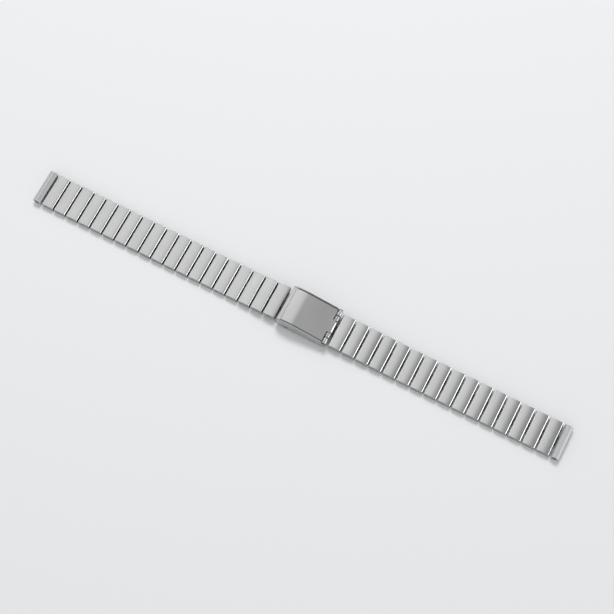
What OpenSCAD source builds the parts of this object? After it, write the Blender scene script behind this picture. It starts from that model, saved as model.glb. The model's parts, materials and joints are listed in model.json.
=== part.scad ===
// Steel watch bracelet: folded links on pins, a fold-over clasp with a hinged lid,
// and an end tube for a spring bar at each end.
// The band runs along X, its width along Y, and the links lie on z = 0.

/* [Band] */
// Width of the links
band_w = 10; // [8:0.5:14]
// Thickness of a link at its crown
link_t = 2; // [1.8:0.1:2.6]
// Number of links in the left half
left_links = 19; // [4:1:19]
// Number of links in the right half
right_links = 16; // [4:1:16]
// Distance from pin to pin in the left half
left_pitch = 3.97; // [3.6:0.01:5]
// Distance from pin to pin in the right half
right_pitch = 4.2; // [3.6:0.01:5]
// Gap between two links in the left half
left_gap = 0.4; // [0.35:0.05:0.6]
// Gap between two links in the right half
right_gap = 0.45; // [0.35:0.05:0.6]
// Height at which the clasp holds the first left link
left_rise = 1.2; // [0.9:0.1:1.5]
// Height at which the clasp holds the first right link
right_rise = 0.7; // [0.65:0.05:1]
// Number of left links that slope down to the table
left_fall = 5; // [3:1:6]
// Number of right links that slope down to the table
right_fall = 7; // [4:1:8]

/* [Links] */
// Rise of a link's top from its long edges to its middle
crown = 0.18; // [0.1:0.02:0.24]
// Radius of the polished long edges at the top
edge_r = 0.4; // [0.3:0.05:0.5]
// Radius of the long edges at the bottom
base_r = 0.2; // [0.1:0.05:0.3]
// Thickness of the top plate over the pocket
top_t = 0.4; // [0.3:0.05:0.45]
// Width of the tongue that enters the next link
tongue_w = 2.4; // [2:0.1:2.7]
// Thickness of the tongue
tongue_t = 0.9; // [0.7:0.05:1]
// Gap on each side of the tongue
side_gap = 0.12; // [0.08:0.02:0.2]

/* [Link pins] */
// Diameter of a link pin
pin_d = 0.6; // [0.5:0.05:0.7]
// Height of the pin over the link's underside
pin_z = 0.85; // [0.8:0.02:0.9]
// Distance from the pin to the link's outer edge
lug_reach = 0.8; // [0.7:0.05:0.9]
// Radius of the rounded end of a tongue
knuckle_r = 0.6; // [0.5:0.02:0.62]
// Distance of a pin's end from the side of the band
pin_inset = 0.08; // [0.04:0.02:0.2]
// Radial clearance of a pin that is held
hold_play = 0.01; // [0.01:0.005:0.02]
// Radial clearance of a pin that turns
turn_play = 0.04; // [0.03:0.01:0.06]
// Free space round a knuckle
swing_gap = 0.1; // [0.08:0.01:0.14]

/* [End tubes] */
// Outer diameter of the end tubes
tube_d = 2.5; // [2.2:0.1:2.8]
// Diameter of the watch's spring bars
spring_bar_d = 1.5; // [1.3:0.1:1.6]
// Radial clearance of the spring bars
bar_play = 0.05; // [0.03:0.01:0.08]

/* [Clasp] */
// Length of the closed clasp from lip to hinge
clasp_l = 15.2; // [14.5:0.1:17]
// Width of the clasp
clasp_w = 11.2; // [10.8:0.2:14]
// Thickness of the side walls
wall_t = 0.5; // [0.4:0.05:0.6]
// Height of the side walls' lower edges over the table
wall_z = 0.3; // [0.2:0.05:0.4]
// Thickness of the floor of the frame
floor_t = 0.4; // [0.3:0.05:0.5]
// Length of the lip along the band
lip_l = 1; // [0.7:0.1:1.2]
// Distance from the lip's edge to the pin that holds the left band
anchor_in = 0.25; // [0.2:0.05:0.4]
// Slope of the top's straight part, down to the main hinge, in degrees
top_slope = 8.5; // [6:0.5:10]
// Length of the top's straight part
slope_l = 9.8; // [9:0.1:10.5]
// Radius of the top's curve between the slope and the lip
curve_r = 10; // [9:0.5:14]
// Length of the window in each side wall
window_l = 1.2; // [1:0.05:1.6]
// Height of the window in each side wall
window_h = 0.6; // [0.5:0.05:0.7]
// Height of the window's centre over the table
window_z = 1.9; // [1.7:0.05:2.1]
// Distance from the lip's edge to the window's centre
window_in = 3; // [2.5:0.1:4]

/* [Lid] */
// Thickness of the lid
lid_t = 0.5; // [0.35:0.05:0.6]
// Gap round the edges of the lid
lid_gap = 0.08; // [0.05:0.01:0.1]
// Width of the hook under the lid
hook_w = 2.4; // [1.6:0.2:3]
// Thickness of the hook
hook_t = 0.3; // [0.2:0.05:0.35]
// Depth of the hook below the lid
hook_h = 1.2; // [1:0.05:1.3]

/* [Main hinge] */
// Radius of the knuckles of the main hinge
hinge_r = 0.65; // [0.6:0.02:0.75]
// Diameter of the main hinge pin
hinge_pin_d = 0.7; // [0.6:0.05:0.8]
// Width of the lid's knuckle
roll_w = 3.86; // [3.7:0.02:4]
// Width of each of the outer blade's knuckles
arm_w = 1.4; // [1.2:0.05:1.5]
// Distance that the arms below the outer blade's knuckles reach past the main hinge
arm_reach = 0.1; // [0:0.05:0.3]
// Gap between neighbouring knuckles
knuckle_gap = 0.06; // [0.05:0.01:0.1]
// Distance between the main hinge and the band's knuckle below it
hinge_drop = 0.2; // [0.15:0.05:0.4]

/* [Blades] */
// Thickness of the two folding blades
blade_t = 0.8; // [0.6:0.05:0.85]
// Gap between the blades and below the frame
blade_gap = 0.15; // [0.12:0.01:0.2]
// Distance from the lip's edge to the pin between the blades
fold_in = 2.6; // [2.4:0.1:3.2]
// Radius of the knuckles between the blades
fold_r = 0.65; // [0.55:0.02:0.68]
// Width of the inner blade's knuckle
fold_w = 2.4; // [2:0.1:3]
// Gap on each side of the inner blade, between the outer blade's arms
inner_play = 0.13; // [0.1:0.01:0.16]
// Distance that the inner blade reaches past the main hinge
inner_reach = 0.75; // [0.6:0.05:0.8]

/* [Catch] */
// Diameter of the lock peg
peg_d = 1; // [0.8:0.05:1.2]
// Height of the lock peg over the outer blade
peg_h = 1.3; // [1.1:0.05:1.5]
// Distance from the main hinge to the lock peg
peg_x = 6.2; // [5.8:0.1:6.8]
// Thickness of the catch spring
spring_t = 0.2; // [0.15:0.01:0.25]
// Width of the catch spring
spring_w = 2.6; // [2.4:0.1:3]
// Diameter of the rivets that hold the catch spring
rivet_d = 0.6; // [0.5:0.05:0.7]
// Distance between the rivets, and from the lock peg to the nearer one
rivet_step = 2.2; // [2:0.1:2.4]

/* [Hidden] */
$fn = 64;
steel = "#b9bbb9";
polished = "#d4d6d8";
dark_steel = "#8f9294";
// Overlap that joins pieces of one solid, and overshoot of cuts
lap = 0.3;
pin_r = pin_d / 2;
bore_r = spring_bar_d / 2 + bar_play;
tube_r = tube_d / 2;
hinge_pin_r = hinge_pin_d / 2;
peg_r = peg_d / 2;
// Heights in the clasp, from the table up
outer_z = blade_t + blade_gap;
floor_z = outer_z + blade_t + blade_gap;
floor_top = floor_z + floor_t;
anchor_z = left_rise + pin_z;
band_pin_z = right_rise + pin_z;
hinge_z = band_pin_z + knuckle_r + hinge_drop + hinge_r;
fold_z = outer_z - blade_gap / 2;
lip_z = anchor_z + knuckle_r + swing_gap;
// Places along the clasp, from the main hinge at x = 0
lip_x = hinge_r - clasp_l;
fold_x = lip_x + fold_in;
anchor_x = lip_x + anchor_in;
band_pin_x = -swing_gap;
wall_y = clasp_w / 2 - wall_t;
lid_y = wall_y - lid_gap;
roll_y = roll_w / 2;
arm_y = roll_y + knuckle_gap + arm_w;
ear_w = clasp_w / 2 - arm_y - knuckle_gap;
inner_w = 2 * (roll_y - inner_play);
floor_start = anchor_x + knuckle_r + 3 * swing_gap;
floor_end = -hinge_r - 3 * swing_gap;
lid_start = lip_x + lip_l + lid_gap;
hook_x = lid_start + 2 * lid_gap;
spring_start = hook_x + hook_t + swing_gap;
rivet_places = [-peg_x - 2 * rivet_step, -peg_x - rivet_step];
// Centre of the top's curve, which runs on from the slope
curve_x = (hinge_r - curve_r) * sin(top_slope) - slope_l * cos(top_slope);
curve_z = hinge_z + (hinge_r - curve_r) * cos(top_slope) + slope_l * sin(top_slope);
top_z = curve_z + curve_r;
// Height of the lid's underside in the curve, at a place along the clasp
function lid_under(x) = curve_z + sqrt(pow(curve_r - lid_t, 2) - pow(x - curve_x, 2));
// Share of its rise that a band's pin number i keeps, where n links slope down
function ease(i, n) = i >= n ? 0 : pow((1 + cos(180 * i / n)) / 2, 1.5);
function right_z(i) = pin_z + right_rise * ease(i, right_fall);
function left_z(i) = pin_z + left_rise * ease(i, left_fall);
function step(pitch, drop) = sqrt(pitch * pitch - drop * drop);
function right_x(i) = i == 0 ? band_pin_x
    : right_x(i - 1) + step(right_pitch, right_z(i - 1) - right_z(i));
function left_x(i) = i == 0 ? anchor_x
    : left_x(i - 1) - step(left_pitch, left_z(i - 1) - left_z(i));
right_end = right_x(right_links) + lug_reach + right_gap + tube_d;
left_end = left_x(left_links) - lug_reach - left_gap - tube_d;
middle_x = (right_end + left_end) / 2;
function left_name(i) = str("link_left_", i < 10 ? "0" : "", i);
function right_name(i) = str("link_right_", i < 10 ? "0" : "", i);

// Round bar along Y, centred on the band
module bar(x, z, r, w) {
    translate([x, 0, z]) rotate([90, 0, 0]) cylinder(r = r, h = w, center = true);
}

// Block from one height to another, centred on the band
module block(x0, x1, z0, z1, w) {
    translate([x0, -w / 2, z0]) cube([x1 - x0, w, z1 - z0]);
}

// The same shape on both sides of the band
module both_sides() {
    children();
    mirror([0, 1, 0]) children();
}

// Link shell without its pocket: a bar with a crowned top whose edges are round.
// It runs from x0 to x1, from its pin's height down to the underside and up to the top.
module crowned_bar(x0, x1, w) {
    half = (x1 - x0) / 2;
    mid = (x0 + x1) / 2;
    top = link_t - pin_z;
    r = (half * half + crown * crown) / (2 * crown);
    crown_z = top - r;
    edge_x = half - edge_r;
    edge_z = crown_z + sqrt(pow(r - edge_r, 2) - edge_x * edge_x);
    meet_x = r * edge_x / (r - edge_r);
    block(x0, x1, base_r - pin_z, edge_z, w);
    block(x0 + base_r, x1 - base_r, -pin_z, edge_z, w);
    for (side = [-1, 1]) {
        bar(mid + side * edge_x, edge_z, edge_r, w);
        bar(mid + side * (half - base_r), base_r - pin_z, base_r, w);
    }
    intersection() {
        bar(mid, crown_z, r, w);
        block(mid - meet_x, mid + meet_x, edge_z - lap, top + lap, w);
    }
}

// Tongue on the pin at the origin, reaching outwards to x1
module tongue(x1) {
    bar(0, 0, knuckle_r, tongue_w);
    block(0, x1, -tongue_t / 2, tongue_t / 2, tongue_w);
}

// Link from the pin it turns on, at the origin, to the pin it carries, at x = pitch
module link(pitch, gap) {
    inner_edge = lug_reach + gap;
    outer_edge = pitch + lug_reach;
    ceiling = link_t - pin_z - top_t;
    pocket_x = pitch - knuckle_r - swing_gap;
    color(steel) difference() {
        union() {
            crowned_bar(inner_edge, outer_edge, band_w);
            tongue(inner_edge + lap);
        }
        block(pocket_x, outer_edge + lap, -pin_z - lap, ceiling, tongue_w + 2 * side_gap);
        bar(0, 0, pin_r + turn_play, tongue_w + lap);
        bar(pitch, 0, pin_r + hold_play, band_w + lap);
    }
    color(polished) bar(pitch, 0, pin_r, band_w - 2 * pin_inset);
}

// Tube for the watch's spring bar, with the tongue that joins it to the last link
module end_tube(gap) {
    centre_x = lug_reach + gap + tube_r;
    centre_z = tube_r - pin_z;
    color(steel) difference() {
        union() {
            tongue(centre_x);
            bar(centre_x, centre_z, tube_r, band_w);
        }
        bar(0, 0, pin_r + turn_play, tongue_w + lap);
        bar(centre_x, centre_z, bore_r, band_w + lap);
    }
}

// Place of the right band's link number i, or of its end tube
module on_right(i) {
    drop = right_z(i - 1) - right_z(i);
    translate([right_x(i - 1), 0, right_z(i - 1)])
        rotate([0, asin(drop / right_pitch), 0]) children();
}

// Place of the left band's link number i, or of its end tube
module on_left(i) {
    drop = left_z(i - 1) - left_z(i);
    translate([left_x(i - 1), 0, left_z(i - 1)])
        mirror([1, 0, 0]) rotate([0, asin(drop / left_pitch), 0]) children();
}

// Everything under the clasp's top, less a skin of the given thickness
module under_top(skin, w) {
    bar(curve_x, curve_z, curve_r - skin, w);
    translate([0, 0, hinge_z]) rotate([0, top_slope, 0])
        block(-slope_l, hinge_r, -slope_l, hinge_r - skin, w);
}

// One side wall with its two knuckles, for the anchor pin and for the main hinge pin
module side_wall() {
    corner = 2 * base_r;
    intersection() {
        translate([0, wall_y, 0]) mirror([0, 1, 0]) rotate([90, 0, 0]) linear_extrude(wall_t)
            polygon([
                [lip_x, wall_z + corner], [lip_x + corner, wall_z],
                [-corner, wall_z], [0, wall_z + corner],
                [0, hinge_z], [-hinge_r, top_z], [lip_x, top_z]]);
        under_top(0, clasp_w + lap);
    }
    translate([0, wall_y + wall_t / 2, 0]) bar(anchor_x, anchor_z, knuckle_r, wall_t);
    translate([0, clasp_w / 2 - ear_w / 2, 0]) bar(0, hinge_z, hinge_r, ear_w);
}

// Oblong window through one side wall, beside the edge of the frame's floor
module wall_window() {
    x = lip_x + window_in;
    flat = (window_l - window_h) / 2;
    w = wall_t + lap;
    translate([0, wall_y + w / 2, 0]) {
        for (side = [-1, 1]) bar(x + side * flat, window_z, window_h / 2, w);
        block(x - flat, x + flat, window_z - window_h / 2, window_z + window_h / 2, w);
    }
}

// Channel with two walls, a floor and a lip over the left band's anchor
module clasp_frame() {
    color(steel) difference() {
        union() {
            both_sides() side_wall();
            block(floor_start, floor_end, floor_z, floor_top, clasp_w - wall_t);
            intersection() {
                block(lip_x, lip_x + lip_l, lip_z, top_z, clasp_w);
                under_top(0, clasp_w + lap);
            }
        }
        both_sides() wall_window();
        bar(0, hinge_z, hinge_pin_r + hold_play, clasp_w + lap);
        bar(anchor_x, anchor_z, pin_r + hold_play, clasp_w - wall_t);
        peg_slot();
        for (x = rivet_places) translate([x, 0, floor_z - lap])
            cylinder(r = rivet_d / 2 + hold_play, h = floor_t + 2 * lap);
    }
}

// Slot that lets the frame lift off the lock peg while it turns about the main hinge
module peg_slot() {
    slide = peg_h * (hinge_z - floor_z) / peg_x;
    for (x = [-peg_x, -peg_x + slide]) translate([x, 0, floor_z - lap])
        cylinder(r = peg_r + swing_gap, h = floor_t + 2 * lap);
    block(-peg_x, -peg_x + slide, floor_z - lap, floor_top + lap, peg_d + 2 * swing_gap);
}

// Lid with the middle knuckle of the main hinge
module clasp_lid() {
    cut = hinge_r + 2 * lid_gap;
    color(polished) difference() {
        union() {
            intersection() {
                under_top(0, 2 * lid_y);
                block(lid_start, -hinge_pin_r, hinge_z, top_z, 2 * lid_y);
            }
            bar(0, hinge_z, hinge_r, 2 * roll_y);
        }
        intersection() {
            under_top(lid_t, clasp_w);
            block(lid_start - lap, -cut, 0, top_z, clasp_w);
        }
        both_sides() translate([-cut, roll_y, 0])
            cube([cut + lap, clasp_w, top_z]);
        bar(0, hinge_z, hinge_pin_r + turn_play, clasp_w);
    }
}

// Hook welded under the lid's free end
module lid_hook() {
    top = lid_under(hook_x);
    color(dark_steel) block(hook_x, hook_x + hook_t, top - hook_h, top, hook_w);
}

// Leaf spring: its upright end stands behind the hook and its fork holds the lock peg
module catch_spring() {
    fork_x = -peg_x - peg_r - 3 * swing_gap;
    fork_end = -peg_x + peg_r + 3 * swing_gap;
    spring_top = floor_top + spring_t;
    color(dark_steel) difference() {
        union() {
            block(spring_start, fork_end, floor_top, spring_top, spring_w);
            block(spring_start, spring_start + spring_t, floor_top,
                lid_under(hook_x) - 3 * swing_gap, hook_w);
        }
        block(fork_x, fork_end + lap, floor_top - lap, spring_top + lap,
            peg_d + 2 * turn_play);
        for (x = rivet_places) translate([x, 0, floor_top - lap])
            cylinder(r = rivet_d / 2 + hold_play, h = spring_t + 2 * lap);
    }
}

// Two rivets, each with a shank through the floor and a head on the spring
module catch_rivets() {
    head_h = rivet_d / 3;
    color(polished) for (x = rivet_places) translate([x, 0, floor_z]) {
        cylinder(r = rivet_d / 2, h = floor_t + spring_t);
        translate([0, 0, floor_t + spring_t]) cylinder(r = rivet_d * 0.8, h = head_h);
    }
}

module hinge_pin() {
    color(polished) bar(0, hinge_z, hinge_pin_r, clasp_w - 2 * pin_inset);
}

// Blade that hangs on the main hinge and folds under the frame
module outer_blade() {
    top = outer_z + blade_t;
    color(steel) difference() {
        union() {
            block(fold_x, arm_reach, outer_z, top, 2 * arm_y);
            bar(fold_x, fold_z, fold_r, 2 * arm_y);
            both_sides() translate([0, arm_y - arm_w / 2, 0]) {
                bar(0, hinge_z, hinge_r, arm_w);
                block(-hinge_r, arm_reach, outer_z, hinge_z, arm_w);
            }
        }
        block(floor_end, arm_reach + lap, outer_z - lap, hinge_z + hinge_r + lap, 2 * roll_y);
        bar(fold_x, fold_z, fold_r + swing_gap, fold_w + 2 * knuckle_gap);
        block(fold_x - fold_r - lap, fold_x, 0, top + lap, fold_w + 2 * knuckle_gap);
        bar(0, hinge_z, hinge_pin_r + turn_play, clasp_w);
        bar(fold_x, fold_z, hinge_pin_r + hold_play, clasp_w);
        translate([-peg_x, 0, outer_z - lap])
            cylinder(r = peg_r / 2 + hold_play, h = blade_t + 2 * lap);
    }
}

// Peg riveted in the outer blade, gripped by the catch spring when the clasp is shut
module lock_peg() {
    dome = peg_r / 2;
    color(polished) translate([-peg_x, 0, 0]) {
        translate([0, 0, outer_z]) cylinder(r = peg_r / 2, h = blade_t + lap);
        translate([0, 0, outer_z + blade_t]) cylinder(r = peg_r, h = peg_h - dome);
        translate([0, 0, outer_z + blade_t + peg_h - dome])
            cylinder(r1 = peg_r, r2 = dome, h = dome);
    }
}

module blade_pin() {
    color(polished) bar(fold_x, fold_z, hinge_pin_r, 2 * (lid_y - swing_gap));
}

// Blade that lies on the table and carries the right band between two ears
module inner_blade() {
    ear_y = tongue_w / 2 + side_gap;
    color(steel) difference() {
        union() {
            block(fold_x, inner_reach, 0, blade_t, inner_w);
            bar(fold_x, fold_z, fold_r, fold_w);
            bar(band_pin_x, band_pin_z, knuckle_r, inner_w);
            block(band_pin_x - knuckle_r, band_pin_x + knuckle_r, 0, band_pin_z, inner_w);
        }
        block(band_pin_x - knuckle_r - lap, band_pin_x + knuckle_r + lap, blade_t,
            hinge_z, 2 * ear_y);
        both_sides() translate([fold_x - lap, fold_w / 2, -lap])
            cube([fold_r + swing_gap + lap, clasp_w, blade_t + 2 * lap]);
        bar(fold_x, fold_z, hinge_pin_r + turn_play, clasp_w);
        bar(band_pin_x, band_pin_z, pin_r + hold_play, clasp_w);
    }
}

module band_pin() {
    color(polished) bar(band_pin_x, band_pin_z, pin_r, inner_w - 2 * pin_inset);
}

// Pin in blind holes of the side walls, which holds the left band
module anchor_pin() {
    color(polished) bar(anchor_x, anchor_z, pin_r, clasp_w - wall_t - 2 * pin_inset);
}

translate([-middle_x, 0, 0]) {
    clasp_frame();
    clasp_lid();
    lid_hook();
    catch_spring();
    catch_rivets();
    hinge_pin();
    outer_blade();
    lock_peg();
    blade_pin();
    inner_blade();
    band_pin();
    anchor_pin();
    on_left(left_links + 1) end_tube(left_gap);  // end_tube_left
    on_right(right_links + 1) end_tube(right_gap);  // end_tube_right
    for (i = [1 : left_links])
        on_left(i) link(left_pitch, left_gap);
    for (i = [1 : right_links])
        on_right(i) link(right_pitch, right_gap);
}
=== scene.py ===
"""Steel watch bracelet: the finished pieces and their studio, around the construction model."""

import json
import math

import bmesh
import bpy
from bpy.props import FloatProperty, FloatVectorProperty, PointerProperty
from bpy.types import Operator, Panel, PropertyGroup
from mathutils import Matrix, Vector


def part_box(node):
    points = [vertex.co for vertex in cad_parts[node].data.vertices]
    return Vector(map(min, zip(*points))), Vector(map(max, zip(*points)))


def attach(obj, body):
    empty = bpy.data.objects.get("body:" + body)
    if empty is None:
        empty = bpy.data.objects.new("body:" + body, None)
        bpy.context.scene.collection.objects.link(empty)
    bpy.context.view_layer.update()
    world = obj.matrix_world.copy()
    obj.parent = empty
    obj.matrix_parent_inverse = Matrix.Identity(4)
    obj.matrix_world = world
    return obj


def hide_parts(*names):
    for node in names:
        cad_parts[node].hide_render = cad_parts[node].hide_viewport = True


bl_info = {
    "name": "Steel Watch Bracelet",
    "version": (1, 0, 0),
    "blender": (4, 5, 0),
    "location": "3D View > Sidebar > Bracelet",
    "description": "Finished links, clasp and end tubes of a steel watch bracelet",
    "category": "Object",
}

MM = 0.001
# Overlap that joins pieces of one solid, and overshoot of cuts
LAP = 0.3 * MM
# Steps of a full turn, of a rounded rim and of a rounded corner
TURN_STEPS = 48
RIM_STEPS = 3
CORNER_STEPS = 6
# Steps of the arcs at a link's bottom, long edges and crown, and along the clasp's top and lip
BASE_STEPS = 4
EDGE_STEPS = 10
CROWN_STEPS = 16
TOP_STEPS = 16
LIP_STEPS = 6
# Rounding of a pin's ends and of the seam's corners, as a share of their radius and width
PIN_ROUND = 1 / 3
SEAM_ROUND = 1 / 3
# Distance of the seam from the top of its end tube, as a share of the tube's radius
SEAM_IN = 0.25
# Rounding of the window's ends as a share of half its height, under 1 so that no side is a point
WINDOW_ROUND = 0.98
SMOOTH_ANGLE = math.radians(35)
# Places of a piece's finishes in its list of materials; the last is painted shade in gaps and
# recesses
FINISHES = BRUSHED, POLISHED, SATIN, PAINTED_SHADE = 0, 1, 2, 3

# Brushed lines on steel: length, width and depth, and the size of the clouds over them
LINE_LENGTH, LINE_WIDTH, LINE_DEPTH = 9 * MM, 0.22 * MM, 0.004 * MM
CLOUD_SIZE = 6 * MM
# Change of brightness and strength of relief of lines whose strength is 1
LINE_CONTRAST = 0.1
LINE_RELIEF = 0.25
LEAST_ROUGHNESS = 0.03

# Half the length and width of the table, in metres
TABLE_REACH = 9
TABLE_ROUGHNESS = 0.8
TABLE_SHINE = 0.2
# Width of the camera's sensor in mm, and what it sees from and to, in metres
SENSOR_WIDTH = 36
NEAREST, FARTHEST = 0.01, 20
# Colours of the surroundings. Overhead they differ to the front, left and right.
HIGH_FRONT = (0.75, 0.75, 0.75, 1)
HIGH_LEFT = (0.76, 0.76, 0.76, 1)
HIGH_RIGHT = (0.28, 0.28, 0.28, 1)
LOW = (0.75, 0.76, 0.77, 1)
LOW_BACK = (0.14, 0.14, 0.14, 1)
# Places of the two colours among the inputs of a Mix node, and of the colour among its outputs
FIRST, SECOND = 6, 7
MIXED = 2

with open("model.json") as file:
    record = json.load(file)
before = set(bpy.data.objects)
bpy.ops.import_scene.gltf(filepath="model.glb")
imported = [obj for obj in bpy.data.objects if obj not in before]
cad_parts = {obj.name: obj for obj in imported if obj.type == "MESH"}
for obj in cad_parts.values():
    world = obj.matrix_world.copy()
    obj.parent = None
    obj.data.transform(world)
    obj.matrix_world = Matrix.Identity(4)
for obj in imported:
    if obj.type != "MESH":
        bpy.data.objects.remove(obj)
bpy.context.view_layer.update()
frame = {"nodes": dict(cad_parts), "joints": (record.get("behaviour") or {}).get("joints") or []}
JOINTS = {joint["name"]: Vector(joint["pos_m"]) for joint in frame["joints"]}
HINGE = JOINTS["frame_hinge"]
FOLD = JOINTS["blade_hinge"]
LEFT_PINS = [JOINTS[name] for name in sorted(JOINTS) if name.startswith("left_hinge_")]
RIGHT_PINS = [JOINTS[name] for name in sorted(JOINTS) if name.startswith("right_hinge_")]
FRAME_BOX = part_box("clasp_frame")
HINGE_R = FRAME_BOX[1].x - HINGE.x


def length(name, text, millimetres):
    """A length that the user can set, with its default in millimetres."""
    return FloatProperty(name=name, description=text, default=millimetres * MM, min=0,
        unit="LENGTH", subtype="DISTANCE", precision=5)


def share(name, text, value):
    """A plain number from 0 to 1 that the user can set."""
    return FloatProperty(name=name, description=text, default=value, min=0, max=1)


def colour(name, text, value):
    """A colour that the user can set."""
    return FloatVectorProperty(name=name, description=text, default=value, size=3,
        min=0, max=1, subtype="COLOR")


class LinkSettings(PropertyGroup):
    """Sizes of the links, their pins and the end tubes."""

    band_width: length("Band width", "Width of the links", 10)
    thickness: length("Thickness", "Thickness of a link at its crown", 2)
    left_gap: length("Left gap", "Gap between two links in the left half", 0.4)
    right_gap: length("Right gap", "Gap between two links in the right half", 0.45)
    pin_height: length("Pin height", "Height of the pin over a link's underside", 0.85)
    lug_reach: length("Lug reach", "Distance from the pin to the link's outer edge", 0.8)
    crown: length("Crown", "Rise of a link's top from its long edges to its middle", 0.18)
    edge_radius: length("Edge radius", "Radius of the polished long edges", 0.4)
    base_radius: length("Base radius", "Radius of the long edges at the bottom", 0.2)
    rim: length("Rim", "Rounding of the rims at the sides of the band", 0.07)
    top_plate: length("Top plate", "Thickness of the plate over the pocket", 0.4)
    tongue_width: length("Tongue width", "Width of the tongue that enters the next link", 2.4)
    tongue_thickness: length("Tongue thickness", "Thickness of the tongue", 0.9)
    side_gap: length("Side gap", "Gap on each side of the tongue", 0.12)
    knuckle_radius: length("Knuckle radius", "Radius of the rounded end of a tongue", 0.6)
    swing_gap: length("Swing gap", "Free space round a knuckle", 0.1)
    pin_diameter: length("Pin diameter", "Diameter of the pins in the band", 0.6)
    pin_inset: length("Pin inset", "Distance of a pin's end from the side of the band", 0.04)
    pin_play: length("Pin play", "Clearance round a pin", 0.03)
    tube_diameter: length("Tube diameter", "Outer diameter of the end tubes", 2.5)
    bore_diameter: length("Bore diameter", "Inner diameter of the end tubes", 1.6)
    seam: length("Seam", "Width and depth of the seam along a rolled end tube", 0.09)


class ClaspSettings(PropertyGroup):
    """Sizes of the clasp's frame, lid, blades and catch."""

    wall: length("Wall", "Thickness of the side walls", 0.5)
    bevel: length("Bevel", "Drop of the bevelled tops of the side walls", 0.24)
    wall_foot: length("Wall foot", "Height of the side walls' lower edges", 0.3)
    corner: length("Corner", "Size of the cut corners at the walls' feet", 0.4)
    floor_low: length("Floor height", "Height of the underside of the frame's floor", 1.9)
    floor: length("Floor", "Thickness of the frame's floor", 0.4)
    lip: length("Lip", "Length of the lip along the band", 1)
    anchor_in: length("Anchor inset", "Distance from the lip's edge to the anchor pin", 0.25)
    slope: FloatProperty(name="Slope", description="Slope of the top's straight part",
        default=math.radians(8.5), unit="ROTATION")
    slope_length: length("Slope length", "Length of the top's straight part", 9.8)
    curve: length("Curve", "Radius of the top between the slope and the lip", 10)
    rim: length("Rim", "Rounding of the rims", 0.06)
    window_length: length("Window length", "Length of the window in a side wall", 1.2)
    window_height: length("Window height", "Height of the window in a side wall", 0.6)
    window_centre: length("Window centre", "Height of the window's centre", 1.9)
    window_in: length("Window inset", "Distance from the lip's edge to the window", 3)
    lid_thickness: length("Lid thickness", "Thickness of the lid", 0.5)
    lid_gap: length("Lid gap", "Gap round the edges of the lid", 0.08)
    roll: length("Roll", "Width of the lid's knuckle", 3.86)
    arm: length("Arm", "Width of each of the outer blade's knuckles", 1.4)
    knuckle_gap: length("Knuckle gap", "Gap between neighbouring knuckles", 0.06)
    knuckle_rim: length("Knuckle rim", "Rounding of the ends of the knuckles", 0.24)
    pin_diameter: length("Pin diameter", "Diameter of the hinge pins of the clasp", 0.7)


class FinishSettings(PropertyGroup):
    """Colours and smoothness of the steel, some of whose colours are painted shade."""

    link_steel: colour("Link steel", "Colour of the links", (0.70, 0.71, 0.70))
    clasp_steel: colour("Clasp steel", "Colour of the clasp's frame", (0.68, 0.69, 0.68))
    lid_steel: colour("Lid steel", "Colour of the lid", (0.68, 0.685, 0.68))
    # Partly painted shade: kept darker than the link steel, so that the band's sides and
    # undersides look shaded
    side_steel: colour("Side steel", "Colour of the sides of the band", (0.42, 0.43, 0.43))
    # Partly painted light and shade: a darker copy of the clasp steel, toned to how the side walls
    # look under the light
    wall_steel: colour("Wall steel", "Colour of the clasp's side walls", (0.50, 0.51, 0.51))
    # Painted shade: near-black steel on the faces inside gaps and recesses, standing in for the
    # shade there
    painted_shade_steel: colour("Recess steel", "Colour of the faces inside gaps", (0.10, 0.10, 0.10))
    blade_steel: colour("Blade steel", "Colour of the folding blades", (0.42, 0.43, 0.43))
    # Partly painted shade: kept darker than polished steel, so that the clasp's bevels look shaded
    bevel_steel: colour("Bevel steel", "Colour of the bevels of the clasp", (0.42, 0.425, 0.42))
    tube_steel: colour("Tube steel", "Colour of the end tubes", (0.57, 0.58, 0.58))
    pin_steel: colour("Pin steel", "Colour of the pins", (0.78, 0.79, 0.80))
    spring_steel: colour("Spring steel", "Colour of the catch spring", (0.50, 0.51, 0.52))
    brushed: share("Brushed", "Roughness of brushed steel", 0.22)
    satin: share("Satin", "Roughness of satin steel", 0.36)
    polished: share("Polished", "Roughness of polished steel", 0.2)
    tube: share("Tube", "Roughness of the end tubes", 0.62)
    recess: share("Recess", "Roughness of the faces inside gaps", 0.7)


class StudioSettings(PropertyGroup):
    """Camera, floor and light."""

    floor: colour("Floor", "Colour of the floor", (0.79, 0.798, 0.814))
    azimuth: FloatProperty(name="Azimuth", description="Turn of the camera round the object",
        default=math.radians(27.49), unit="ROTATION")
    elevation: FloatProperty(name="Elevation", description="Height of the camera as an angle",
        default=math.radians(71.39), unit="ROTATION")
    distance: length("Distance", "Distance from the camera to what it looks at", 392.4)
    target: FloatVectorProperty(name="Target", description="Point that the camera looks at",
        default=(2.24 * MM, 2.3 * MM, 2 * MM), size=3, unit="LENGTH", subtype="TRANSLATION",
        precision=5)
    lens: FloatProperty(name="Lens", description="Focal length for a 36 mm wide sensor, in mm",
        default=82.86, min=1)


def arc(x, z, radius, start, end, steps):
    """Points on a circle in the x-z plane, from one angle to the other, in degrees."""
    angles = [math.radians(start + (end - start) * k / steps) for k in range(steps + 1)]
    return [(x + radius * math.cos(a), z + radius * math.sin(a)) for a in angles]


def circle(x, z, radius):
    """Closed round outline."""
    return arc(x, z, radius, 0, 360, TURN_STEPS)[:-1]


def box_outline(x0, x1, z0, z1, radius):
    """Rectangle with round corners."""
    r = radius
    corners = ((x0 + r, z0 + r, 180), (x1 - r, z0 + r, 270),
        (x1 - r, z1 - r, 0), (x0 + r, z1 - r, 90))
    return [point for x, z, start in corners
        for point in arc(x, z, r, start, start + 90, CORNER_STEPS)]


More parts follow.
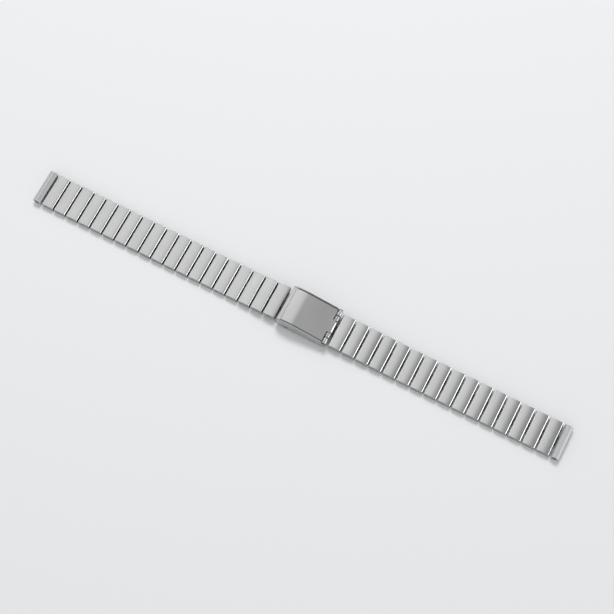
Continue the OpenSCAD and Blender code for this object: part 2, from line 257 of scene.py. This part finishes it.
def inset(outline, distance):
    """The outline, which runs anticlockwise, moved inwards by that distance."""
    moved = []
    for i, here in enumerate(outline):
        before = Vector(here) - Vector(outline[i - 1])
        after = Vector(outline[(i + 1) % len(outline)]) - Vector(here)
        inward = [Vector((-v.y, v.x)).normalized() for v in (before, after)]
        reach = distance / (1 + inward[0].dot(inward[1]))
        moved.append(Vector(here) + (inward[0] + inward[1]) * reach)
    return moved


def stations(y0, y1, rim):
    """Pairs of inset and y along a prism whose two rims are rounded."""
    if rim == 0:
        return [(0, y0), (0, y1)]
    angles = [math.pi / 2 * k / RIM_STEPS for k in range(RIM_STEPS + 1)]
    near = [(rim * (1 - math.sin(a)), rim * (1 - math.cos(a))) for a in angles]
    return [(d, y0 + y) for d, y in near] + [(d, y1 - y) for d, y in reversed(near)]


def prism(outline, y0, y1, rim=0, zones=None, side=SATIN, rims=None, body=RIM_STEPS,
        edge=POLISHED):
    """New object with that outline in x-z between two y values.

    side is the finish of all its sides, or zones that of each. rims, where given, are the
    pairs of inset and y that replace the rounded rims, and body is the number of the strip
    between two of them that is no rim. edge is the finish of the rims.
    """
    bm = bmesh.new()
    rims = rims or stations(y0, y1, rim)
    rings = [[bm.verts.new((x, y, z)) for x, z in inset(outline, d)] for d, y in rims]
    count = len(outline)
    for number, (a, b) in enumerate(zip(rings, rings[1:])):
        on_rim = len(rims) > 2 and number != body
        for i in range(count):
            j = (i + 1) % count
            face = bm.faces.new((a[i], b[i], b[j], a[j]))
            face.material_index = edge if on_rim else zones[i] if zones else side
    for ring in (rings[0], rings[-1]):
        bm.faces.new(ring).material_index = SATIN
    bmesh.ops.recalc_face_normals(bm, faces=bm.faces)
    mesh = bpy.data.meshes.new("prism")
    for _ in FINISHES:
        mesh.materials.append(None)
    bm.to_mesh(mesh)
    bm.free()
    made = bpy.data.objects.new("prism", mesh)
    bpy.context.scene.collection.objects.link(made)
    return made


def both_sides(outline, y0, y1, rim=0, side=SATIN):
    """The same prism on both sides of the band, as two objects."""
    # The rims get painted shade
    return [prism(outline, a, b, rim, side=side, edge=PAINTED_SHADE) for a, b in ((y0, y1), (-y1, -y0))]


def combine(body, tool, operation):
    """Joins the tool to the body or cuts it away, and removes the tool."""
    step = body.modifiers.new("step", "BOOLEAN")
    step.operation = operation
    step.solver = "EXACT"
    step.material_mode = "INDEX"
    step.object = tool
    bpy.context.view_layer.update()
    graph = bpy.context.evaluated_depsgraph_get()
    made = bpy.data.meshes.new_from_object(body.evaluated_get(graph))
    body.modifiers.clear()
    body.data = made
    bpy.data.objects.remove(tool)
    if not made.polygons:
        raise RuntimeError(f"a {operation.lower()} left nothing of a piece")
    return body


def assemble(body, joined=(), cut=()):
    """One solid from a body, what is joined to it and what is then cut away."""
    for tool in joined:
        combine(body, tool, "UNION")
    for tool in cut:
        combine(body, tool, "DIFFERENCE")
    return body


def finish_piece(piece, name, materials, body, nodes=()):
    """Names a piece, gives it its materials and even shading, and makes it ride on its body.

    nodes names the construction parts that it replaces.
    """
    piece.name = piece.data.name = name
    for place, material in enumerate(materials):
        piece.data.materials[place] = material
    piece.data.shade_smooth()
    piece.data.set_sharp_from_angle(angle=SMOOTH_ANGLE)
    even = piece.modifiers.new("Even shading", "WEIGHTED_NORMAL")
    even.keep_sharp = True
    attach(piece, body)
    if nodes:
        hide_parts(*nodes)
    return piece


def add_node(nodes, kind, inputs=None, **settings):
    """New shader node with those settings and values of its inputs."""
    made = nodes.new(kind)
    for name, value in settings.items():
        setattr(made, name, value)
    for socket, value in (inputs or {}).items():
        made.inputs[socket].default_value = value
    return made


def steel(name, tint, roughness, along=(1, 0, 0), streaks=0.5, grain=0.04):
    """Steel with fine lines in one direction, which vary its brightness, roughness and height.

    streaks is the strength of the lines and grain the change of roughness between them.
    A steel that is already there under that name is taken again.
    """
    found = bpy.data.materials.get(name)
    if found:
        return found
    material = bpy.data.materials.new(name)
    material.use_nodes = True
    nodes, links = material.node_tree.nodes, material.node_tree.links
    shader = nodes["Principled BSDF"]
    shader.inputs["Metallic"].default_value = 1
    place = add_node(nodes, "ShaderNodeTexCoord")
    stretch = add_node(nodes, "ShaderNodeMapping",
        {"Scale": [1 / (LINE_LENGTH if a else LINE_WIDTH) for a in along]})
    lines = add_node(nodes, "ShaderNodeTexNoise", {"Scale": 1, "Detail": 5, "Roughness": 0.7})
    clouds = add_node(nodes, "ShaderNodeTexNoise", {"Scale": 1 / CLOUD_SIZE, "Detail": 2})
    change = LINE_CONTRAST * streaks
    tints = add_node(nodes, "ShaderNodeMix", {FIRST: [c * (1 - change) for c in tint] + [1],
        SECOND: [min(1, c * (1 + change)) for c in tint] + [1]}, data_type="RGBA")
    rough = add_node(nodes, "ShaderNodeMapRange", {"From Min": 0.3, "From Max": 0.7,
        "To Min": max(LEAST_ROUGHNESS, roughness - grain), "To Max": roughness + grain})
    blend = add_node(nodes, "ShaderNodeMath", operation="ADD")
    half = add_node(nodes, "ShaderNodeMath", {1: 0.5}, operation="MULTIPLY")
    height = add_node(nodes, "ShaderNodeBump",
        {"Strength": LINE_RELIEF * streaks, "Distance": LINE_DEPTH})
    links.new(place.outputs["Object"], stretch.inputs["Vector"])
    links.new(place.outputs["Object"], clouds.inputs["Vector"])
    links.new(stretch.outputs["Vector"], lines.inputs["Vector"])
    links.new(lines.outputs["Fac"], blend.inputs[0])
    links.new(clouds.outputs["Fac"], blend.inputs[1])
    links.new(blend.outputs["Value"], half.inputs[0])
    links.new(half.outputs["Value"], rough.inputs["Value"])
    links.new(half.outputs["Value"], tints.inputs["Factor"])
    links.new(tints.outputs[MIXED], shader.inputs["Base Color"])
    links.new(rough.outputs["Result"], shader.inputs["Roughness"])
    links.new(lines.outputs["Fac"], height.inputs["Height"])
    links.new(height.outputs["Normal"], shader.inputs["Normal"])
    return material


def dark(context):
    """Painted shade on the faces inside gaps and recesses: a dark grey steel in place of the shade
    that falls there.
    """
    use = context.scene.bracelet_finish
    return steel("painted_shade_recess", use.painted_shade_steel, use.recess, streaks=0.6)


def link_finishes(context):
    """Brushed tops, polished long edges, satin sides partly darkened as painted shade, and painted
    shade in the links' recesses.
    """
    use = context.scene.bracelet_finish
    return [steel("brushed_link", use.link_steel, use.brushed),
        steel("polished_edge", use.pin_steel, use.polished, streaks=0.2, grain=0.02),
        steel("satin_side", use.side_steel, use.satin, streaks=0.4), dark(context)]


def tube_finishes(context):
    """Satin finish of the end tubes."""
    use = context.scene.bracelet_finish
    satin = steel("satin_tube", use.tube_steel, use.tube, streaks=0.4)
    # The last finish, on the tongue inside the next link, is painted shade
    return [satin, satin, satin, dark(context)]


def clasp_finishes(context):
    """Finishes of the clasp's frame, whose bevels and walls are partly painted shade, with painted
    shade in its gaps.
    """
    use = context.scene.bracelet_finish
    return [steel("brushed_frame", use.clasp_steel, use.brushed),
        steel("polished_bevel", use.bevel_steel, use.polished, streaks=0.2, grain=0.02),
        # The last finish, on the ears' rims and the window, is painted shade
        steel("satin_frame", use.wall_steel, use.satin, streaks=0.4), dark(context)]


def lid_finishes(context):
    """Finishes of the lid, which are those of the links but for its brushed top."""
    use = context.scene.bracelet_finish
    top = steel("brushed_lid_steel", use.lid_steel, use.brushed)
    return [top, *link_finishes(context)[1:]]


def blade_finish(context):
    """Satin finish of the folding blades."""
    use = context.scene.bracelet_finish
    return steel("satin_blade", use.blade_steel, use.satin, streaks=0.7)


def pin_finish(context):
    """Finish of the pins, which are ground round and so have their lines across."""
    use = context.scene.bracelet_finish
    return steel("ground_pin", use.pin_steel, use.polished, along=(0, 1, 0), streaks=0.3)


def spring_finish(context):
    """Finish of the catch spring and the hook."""
    use = context.scene.bracelet_finish
    return steel("dull_spring", use.spring_steel, use.satin, streaks=0.6)


def link_outline(sizes, pitch, gap):
    """Outline of a link round the pin at the origin, and the finish of each of its sides."""
    x0, x1 = sizes.lug_reach + gap, pitch + sizes.lug_reach
    low, top = -sizes.pin_height, sizes.thickness - sizes.pin_height
    half, mid = (x1 - x0) / 2, (x0 + x1) / 2
    crown_r = (half ** 2 + sizes.crown ** 2) / (2 * sizes.crown)
    crown_z = top - crown_r
    edge, base = sizes.edge_radius, sizes.base_radius
    edge_x = half - edge
    tilt = math.degrees(math.asin(edge_x / (crown_r - edge)))
    edge_z = crown_z + math.sqrt((crown_r - edge) ** 2 - edge_x ** 2)
    # Points of each arc, its finish, and the finish of the side that leads on from it
    # The sides that face the gaps between links get painted shade
    parts = [
        (arc(x0 + base, low + base, base, 180, 270, BASE_STEPS), SATIN, SATIN),
        (arc(x1 - base, low + base, base, 270, 360, BASE_STEPS), SATIN, PAINTED_SHADE),
        (arc(mid + edge_x, edge_z, edge, 0, 90 - tilt, EDGE_STEPS), POLISHED, BRUSHED),
        (arc(mid, crown_z, crown_r, 90 - tilt, 90 + tilt, CROWN_STEPS)[1:], BRUSHED, POLISHED),
        (arc(mid - edge_x, edge_z, edge, 90 + tilt, 180, EDGE_STEPS)[1:], POLISHED, PAINTED_SHADE),
    ]
    outline, zones = [], []
    for points, zone, onward in parts:
        outline += points
        zones += [zone] * (len(points) - 1) + [onward]
    return outline, zones


def tongue(sizes, reach):
    """Knuckle round the pin at the origin and its strap, as two objects that overlap."""
    half, strap = sizes.tongue_width / 2, sizes.tongue_thickness / 2
    # The tongue, in shade inside the next link, is painted dark as painted shade
    return [prism(outline, -half, half, side=PAINTED_SHADE) for outline in (
        circle(0, 0, sizes.knuckle_radius), box_outline(0, reach, -strap, strap, sizes.rim))]


def link_mesh(sizes, pitch, gap):
    """Mesh of a link, from the pin that it turns on, at the origin, to the pin that it carries."""
    outline, zones = link_outline(sizes, pitch, gap)
    half, outer = sizes.band_width / 2, pitch + sizes.lug_reach
    ceiling = sizes.thickness - sizes.pin_height - sizes.top_plate
    pocket = box_outline(pitch - sizes.knuckle_radius - sizes.swing_gap, outer + 2 * LAP,
        -sizes.pin_height - 2 * LAP, ceiling, sizes.rim)
    pocket_half = sizes.tongue_width / 2 + sizes.side_gap
    bore = sizes.pin_diameter / 2 + sizes.pin_play
    # The pocket that takes the next tongue is lined with painted shade
    made = assemble(prism(outline, -half, half, sizes.rim, zones, edge=SATIN),
        cut=[prism(pocket, -pocket_half, pocket_half, side=PAINTED_SHADE)])
    assemble(made, tongue(sizes, sizes.lug_reach + gap + LAP), [
        prism(circle(0, 0, bore), -half, half),
        prism(circle(pitch, 0, bore), -half - LAP, half + LAP)])
    mesh = made.data
    bpy.data.objects.remove(made)
    return mesh


def place(mesh, start, end):
    """New object with the mesh moved from the origin to start and turned so that +x leads to end.

    Where end lies to the left of start, the mesh is mirrored and not turned over.
    """
    made = bpy.data.objects.new("placed", mesh.copy())
    bpy.context.scene.collection.objects.link(made)
    away = end - start
    outward = 1 if away.x > 0 else -1
    turn = math.atan2(away.z, abs(away.x))
    mirror = Matrix.Diagonal((outward, 1, 1, 1))
    made.data.transform(Matrix.Translation(start) @ mirror @ Matrix.Rotation(-turn, 4, "Y"))
    if outward < 0:
        made.data.flip_normals()
    return made


def halves(sizes):
    """The two halves of the band: their name, the places of their pins and the gap in them."""
    return [("left", LEFT_PINS, sizes.left_gap), ("right", RIGHT_PINS, sizes.right_gap)]


class BRACELET_OT_links(Operator):
    """Adds the links of both halves"""

    bl_idname = "bracelet.links"
    bl_label = "Links"

    def execute(self, context):
        sizes = context.scene.bracelet_links
        finishes = link_finishes(context)
        for side, pins, gap in halves(sizes):
            mesh = link_mesh(sizes, (pins[-1] - pins[-2]).length, gap)
            for number, (start, end) in enumerate(zip(pins, pins[1:]), 1):
                node = f"link_{side}_{number:02d}"
                finish_piece(place(mesh, start, end), f"shell_{side}_{number:02d}", finishes,
                    node, [node])
            bpy.data.meshes.remove(mesh)
        return {"FINISHED"}


class BRACELET_OT_pins(Operator):
    """Adds the pins of the band and of the clasp, with rounded ends"""

    bl_idname = "bracelet.pins"
    bl_label = "Pins"

    def execute(self, context):
        sizes, clasp = context.scene.bracelet_links, context.scene.bracelet_clasp
        finishes = [pin_finish(context)] * len(FINISHES)
        radius = sizes.pin_diameter / 2
        half = sizes.band_width / 2 - sizes.pin_inset
        for side, pins, _ in halves(sizes):
            for number, at in enumerate(pins[1:], 1):
                rod = prism(circle(at.x, at.z, radius), -half, half, radius * PIN_ROUND)
                finish_piece(rod, f"pin_{side}_{number:02d}", finishes,
                    f"link_{side}_{number:02d}")
        hinge = clasp.pin_diameter / 2
        for node, body, at, size in (("hinge_pin", "clasp_frame", HINGE, hinge),
                ("blade_pin", "outer_blade", FOLD, hinge),
                ("anchor_pin", "clasp_frame", LEFT_PINS[0], radius),
                ("band_pin", "inner_blade", RIGHT_PINS[0], radius)):
            low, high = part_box(node)
            rod = prism(circle(at.x, at.z, size), low.y, high.y, size * PIN_ROUND)
            finish_piece(rod, f"{node}_rod", finishes, body, [node])
        return {"FINISHED"}


class BRACELET_OT_end_tubes(Operator):
    """Adds the rolled tubes that take the watch's spring bars"""

    bl_idname = "bracelet.end_tubes"
    bl_label = "End Tubes"

    def execute(self, context):
        sizes = context.scene.bracelet_links
        finishes = tube_finishes(context)
        half, radius = sizes.band_width / 2, sizes.tube_diameter / 2
        for side, pins, gap in halves(sizes):
            x = sizes.lug_reach + gap + radius
            z = radius - sizes.pin_height
            seam_in = radius * SEAM_IN
            seam_x = x - seam_in
            seam_z = z + math.sqrt(radius ** 2 - seam_in ** 2)
            tube = prism(circle(x, z, radius), -half, half, sizes.rim, side=BRUSHED)
            groove = prism(box_outline(seam_x - sizes.seam / 2, seam_x + sizes.seam / 2,
                seam_z - sizes.seam, seam_z + LAP, sizes.seam * SEAM_ROUND),
                -half - LAP, half + LAP)
            made = assemble(tube, tongue(sizes, x), [
                groove, prism(circle(x, z, sizes.bore_diameter / 2), -half - LAP, half + LAP),
                prism(circle(0, 0, sizes.pin_diameter / 2 + sizes.pin_play), -half, half)])
            node = f"end_tube_{side}"
            outward = Vector((math.copysign(1, pins[-1].x), 0, 0))
            finish_piece(place(made.data, pins[-1], pins[-1] + outward), f"rolled_tube_{side}",
                finishes, node, [node])
            bpy.data.objects.remove(made)
        return {"FINISHED"}


def top_points(clasp, right, left, depth=0, steps=TOP_STEPS):
    """Points leftwards from one x value to another, on the clasp's top or that far below it."""
    down, flat = math.sin(clasp.slope), math.cos(clasp.slope)
    under, radius = HINGE_R - depth, clasp.curve - depth
    centre_x = HINGE.x + (HINGE_R - clasp.curve) * down - clasp.slope_length * flat
    centre_z = HINGE.z + (HINGE_R - clasp.curve) * flat + clasp.slope_length * down
    meet = centre_x + radius * down
    start, end = (math.degrees(math.acos((x - centre_x) / radius))
        for x in (min(right, meet), left))
    points = arc(centre_x, centre_z, radius, start, end, steps)
    if right > meet:
        points.insert(0, (right, HINGE.z + (under - (right - HINGE.x) * down) / flat))
    return points


def wall_outline(clasp, lip_x):
    """Outline of a side wall, with its sloping top and cut lower corners."""
    foot, corner = clasp.wall_foot, clasp.corner
    back = HINGE.x - HINGE_R
    return ([(lip_x, foot + corner), (lip_x + corner, foot), (HINGE.x - corner, foot),
        (HINGE.x, foot + corner), (HINGE.x, HINGE.z), (back, HINGE.z + HINGE_R / 2)]
        + top_points(clasp, back, lip_x))


class BRACELET_OT_clasp_frame(Operator):
    """Adds the clasp's frame: two walls, floor, lip and outer knuckles"""

    bl_idname = "bracelet.clasp_frame"
    bl_label = "Clasp Frame"

    def execute(self, context):
        clasp, sizes = context.scene.bracelet_clasp, context.scene.bracelet_links
        half = FRAME_BOX[1].y
        rim = clasp.rim
        anchor = LEFT_PINS[0]
        lip_x = anchor.x - clasp.anchor_in
        outline = wall_outline(clasp, lip_x)
        inner = half - clasp.wall
        bevel = [(rim, inner), (0, inner + rim), (clasp.bevel, half - rim),
            (clasp.bevel + rim, half)]
        walls = [prism(outline, 0, 0, rims=[(d, side * y) for d, y in bevel], body=-1)
            for side in (1, -1)]
        ear_start = clasp.roll / 2 + clasp.arm + 2 * clasp.knuckle_gap
        ears = (both_sides(circle(HINGE.x, HINGE.z, HINGE_R), ear_start, half, clasp.knuckle_rim)
            + both_sides(circle(anchor.x, anchor.z, sizes.knuckle_radius), inner, half, rim))
        clear = sizes.knuckle_radius + sizes.swing_gap
        lip_end = lip_x + clasp.lip
        lip_low = anchor.z + clear
        lip = prism([(lip_x, lip_low), (lip_end, lip_low)]
            + top_points(clasp, lip_end, lip_x, steps=LIP_STEPS),
            -inner - rim, inner + rim, side=BRUSHED)
        floor_start = anchor.x + clear + 2 * sizes.swing_gap
        floor_end = HINGE.x - HINGE_R - 3 * sizes.swing_gap
        floor_half = half - clasp.wall / 2
        floor = prism(box_outline(floor_start, floor_end, clasp.floor_low,
            clasp.floor_low + clasp.floor, rim), -floor_half, floor_half)
        window_half, window_r = clasp.window_length / 2, clasp.window_height / 2
        window_x = lip_x + clasp.window_in
        window = box_outline(window_x - window_half, window_x + window_half,
            clasp.window_centre - window_r, clasp.window_centre + window_r,
            window_r * WINDOW_ROUND)
        made = assemble(walls[0], [walls[1], floor, lip] + ears, [
            # The window's faces are painted shade
            *both_sides(window, inner, half + LAP, side=PAINTED_SHADE),
            prism(circle(HINGE.x, HINGE.z, clasp.pin_diameter / 2 + sizes.pin_play / 2),
                -half - LAP, half + LAP)])
        finish_piece(made, "frame_shell", clasp_finishes(context), "clasp_frame",
            ["clasp_frame"])
        return {"FINISHED"}


class BRACELET_OT_clasp_lid(Operator):
    """Adds the lid with the middle knuckle of the main hinge"""

    bl_idname = "bracelet.clasp_lid"
    bl_label = "Clasp Lid"

    def execute(self, context):
        clasp, sizes = context.scene.bracelet_clasp, context.scene.bracelet_links
        half = FRAME_BOX[1].y
        lid_half = half - clasp.wall - clasp.lid_gap
        roll_half = clasp.roll / 2
        start = LEFT_PINS[0].x - clasp.anchor_in + clasp.lip + clasp.lid_gap
        stop = HINGE.x - HINGE_R - clasp.lid_gap
        skin = clasp.lid_thickness

        def plate(end, side_half, rim):
            """Lid's plate from its left edge to that x value."""
            top = top_points(clasp, end, start)
            under = top_points(clasp, end, start, skin)[::-1]
            outline = under + top
            # The plate's end face and side rims get painted shade, for the shade in the gaps round
            # the lid
            zones = [SATIN] * (len(under) - 1) + [POLISHED] + [BRUSHED] * (len(top) - 1) + [PAINTED_SHADE]
            return prism(outline, -side_half, side_half, rim, zones, edge=PAINTED_SHADE)

        made = assemble(plate(stop, lid_half, clasp.rim), [
            plate(HINGE.x + HINGE_R * math.sin(clasp.slope), roll_half, 0),
            # The roll's rims get painted shade too
            prism(circle(HINGE.x, HINGE.z, HINGE_R), -roll_half, roll_half, clasp.knuckle_rim,
                side=BRUSHED, edge=PAINTED_SHADE)],
            [prism(circle(HINGE.x, HINGE.z, clasp.pin_diameter / 2 + sizes.pin_play),
                -half, half)])
        finish_piece(made, "lid_plate", lid_finishes(context), "clasp_lid",
            ["clasp_lid"])
        return {"FINISHED"}


class BRACELET_OT_cad_parts(Operator):
    """Gives their steel to the parts that keep their construction shape"""

    bl_idname = "bracelet.cad_parts"
    bl_label = "Inner Parts"

    def execute(self, context):
        looks = {"outer_blade": blade_finish, "inner_blade": blade_finish,
            "lock_peg": pin_finish, "catch_rivets": pin_finish,
            "catch_spring": spring_finish, "lid_hook": spring_finish}
        for node, finish in looks.items():
            mesh = frame["nodes"][node].data
            mesh.materials.clear()
            mesh.materials.append(finish(context))
        return {"FINISHED"}


def add_light(name, direction, distance, width, height, power):
    """Soft box in that direction from the object, facing it."""
    data = bpy.data.lights.new(name, "AREA")
    data.shape = "RECTANGLE"
    data.size, data.size_y = width, height
    data.energy = power
    lamp = bpy.data.objects.new(name, data)
    bpy.context.scene.collection.objects.link(lamp)
    away = Vector(direction).normalized()
    lamp.location = away * distance
    lamp.rotation_euler = away.to_track_quat("Z", "Y").to_euler()
    return lamp


def studio_world():
    """Surroundings that are grey low down, dark low at the back, and overhead as named above."""
    world = bpy.data.worlds.new("studio")
    bpy.context.scene.world = world
    world.use_nodes = True
    nodes, links = world.node_tree.nodes, world.node_tree.links
    place = add_node(nodes, "ShaderNodeTexCoord")
    parts = add_node(nodes, "ShaderNodeSeparateXYZ")
    links.new(place.outputs["Generated"], parts.inputs["Vector"])

    def mix(axis, start, end, first, second):
        """Output that goes from one colour to the other where that part of the direction does."""
        fade = add_node(nodes, "ShaderNodeMapRange", {"From Min": start, "From Max": end},
            interpolation_type="SMOOTHSTEP")
        made = add_node(nodes, "ShaderNodeMix", data_type="RGBA")
        links.new(parts.outputs[axis], fade.inputs["Value"])
        links.new(fade.outputs["Result"], made.inputs["Factor"])
        for socket, value in ((made.inputs[FIRST], first), (made.inputs[SECOND], second)):
            if isinstance(value, tuple):
                socket.default_value = value
            else:
                links.new(value, socket)
        return made.outputs[MIXED]

    low = mix("Y", start=0.55, end=0.8, first=LOW, second=LOW_BACK)
    across = mix("X", start=-0.1, end=0.28, first=HIGH_LEFT, second=HIGH_RIGHT)
    high = mix("Y", start=0, end=-0.25, first=across, second=HIGH_FRONT)
    whole = mix("Z", start=0.25, end=0.75, first=low, second=high)
    links.new(whole, nodes["Background"].inputs["Color"])


class BRACELET_OT_stage(Operator):
    """Adds the floor, the light and the camera"""

    bl_idname = "bracelet.stage"
    bl_label = "Stage"

    def execute(self, context):
        studio = context.scene.bracelet_studio
        mesh = bpy.data.meshes.new("table")
        reach = TABLE_REACH
        corners = [(-reach, -reach, 0), (reach, -reach, 0), (reach, reach, 0), (-reach, reach, 0)]
        mesh.from_pydata(corners, [], [(0, 1, 2, 3)])
        table = bpy.data.objects.new("table", mesh)
        context.scene.collection.objects.link(table)
        matt = bpy.data.materials.new("matt_table")
        matt.use_nodes = True
        shader = matt.node_tree.nodes["Principled BSDF"]
        shader.inputs["Base Color"].default_value = (*studio.floor, 1)
        shader.inputs["Roughness"].default_value = TABLE_ROUGHNESS
        shader.inputs["Specular IOR Level"].default_value = TABLE_SHINE
        mesh.materials.append(matt)
        studio_world()
        # The window lights the scene and gives no reflection, and the cards give nothing else
        window = add_light("high_window", direction=(-0.2, 0.45, 0.87), distance=0.9,
            width=0.3, height=0.3, power=3.9)
        window.visible_glossy = False
        back = add_light("back_card", direction=(-0.26, 0.66, 0.7), distance=0.9,
            width=0.55, height=0.19, power=2.7)
        right = add_light("right_card", direction=(0.28, 0.07, 0.11), distance=0.42,
            width=0.17, height=0.22, power=0.34)
        back.visible_diffuse = right.visible_diffuse = False
        camera = bpy.data.objects.new("camera", bpy.data.cameras.new("camera"))
        context.scene.collection.objects.link(camera)
        camera.data.sensor_width = SENSOR_WIDTH
        camera.data.lens = studio.lens
        camera.data.clip_start, camera.data.clip_end = NEAREST, FARTHEST
        turn, lift = studio.azimuth, studio.elevation
        level = math.cos(lift)
        away = Vector((math.sin(turn) * level, -math.cos(turn) * level, math.sin(lift)))
        camera.location = Vector(studio.target) + away * studio.distance
        camera.rotation_euler = away.to_track_quat("Z", "Y").to_euler()
        context.scene.camera = camera
        context.scene.view_settings.view_transform = "Standard"
        return {"FINISHED"}


STEPS = (BRACELET_OT_links, BRACELET_OT_pins, BRACELET_OT_end_tubes, BRACELET_OT_clasp_frame,
    BRACELET_OT_clasp_lid, BRACELET_OT_cad_parts, BRACELET_OT_stage)


class BRACELET_PT_sidebar(Panel):
    """Lists the steps that build the bracelet and its studio"""

    bl_label = "Bracelet"
    bl_space_type = "VIEW_3D"
    bl_region_type = "UI"
    bl_category = "Bracelet"

    def draw(self, context):
        for step in STEPS:
            self.layout.operator(step.bl_idname)
        for group in SETTINGS:
            settings = getattr(context.scene, group)
            box = self.layout.box()
            for name in settings.__annotations__:
                box.prop(settings, name)


SETTINGS = {"bracelet_links": LinkSettings, "bracelet_clasp": ClaspSettings,
    "bracelet_finish": FinishSettings, "bracelet_studio": StudioSettings}
CLASSES = (*SETTINGS.values(), *STEPS, BRACELET_PT_sidebar)


def register():
    for made in CLASSES:
        bpy.utils.register_class(made)
    for name, group in SETTINGS.items():
        setattr(bpy.types.Scene, name, PointerProperty(type=group))


def unregister():
    for name in SETTINGS:
        delattr(bpy.types.Scene, name)
    for made in reversed(CLASSES):
        bpy.utils.unregister_class(made)


def main():
    """Builds the bracelet and its studio."""
    register()
    for step in STEPS:
        group, name = step.bl_idname.split(".")
        getattr(getattr(bpy.ops, group), name)()


if __name__ == "__main__":
    main()
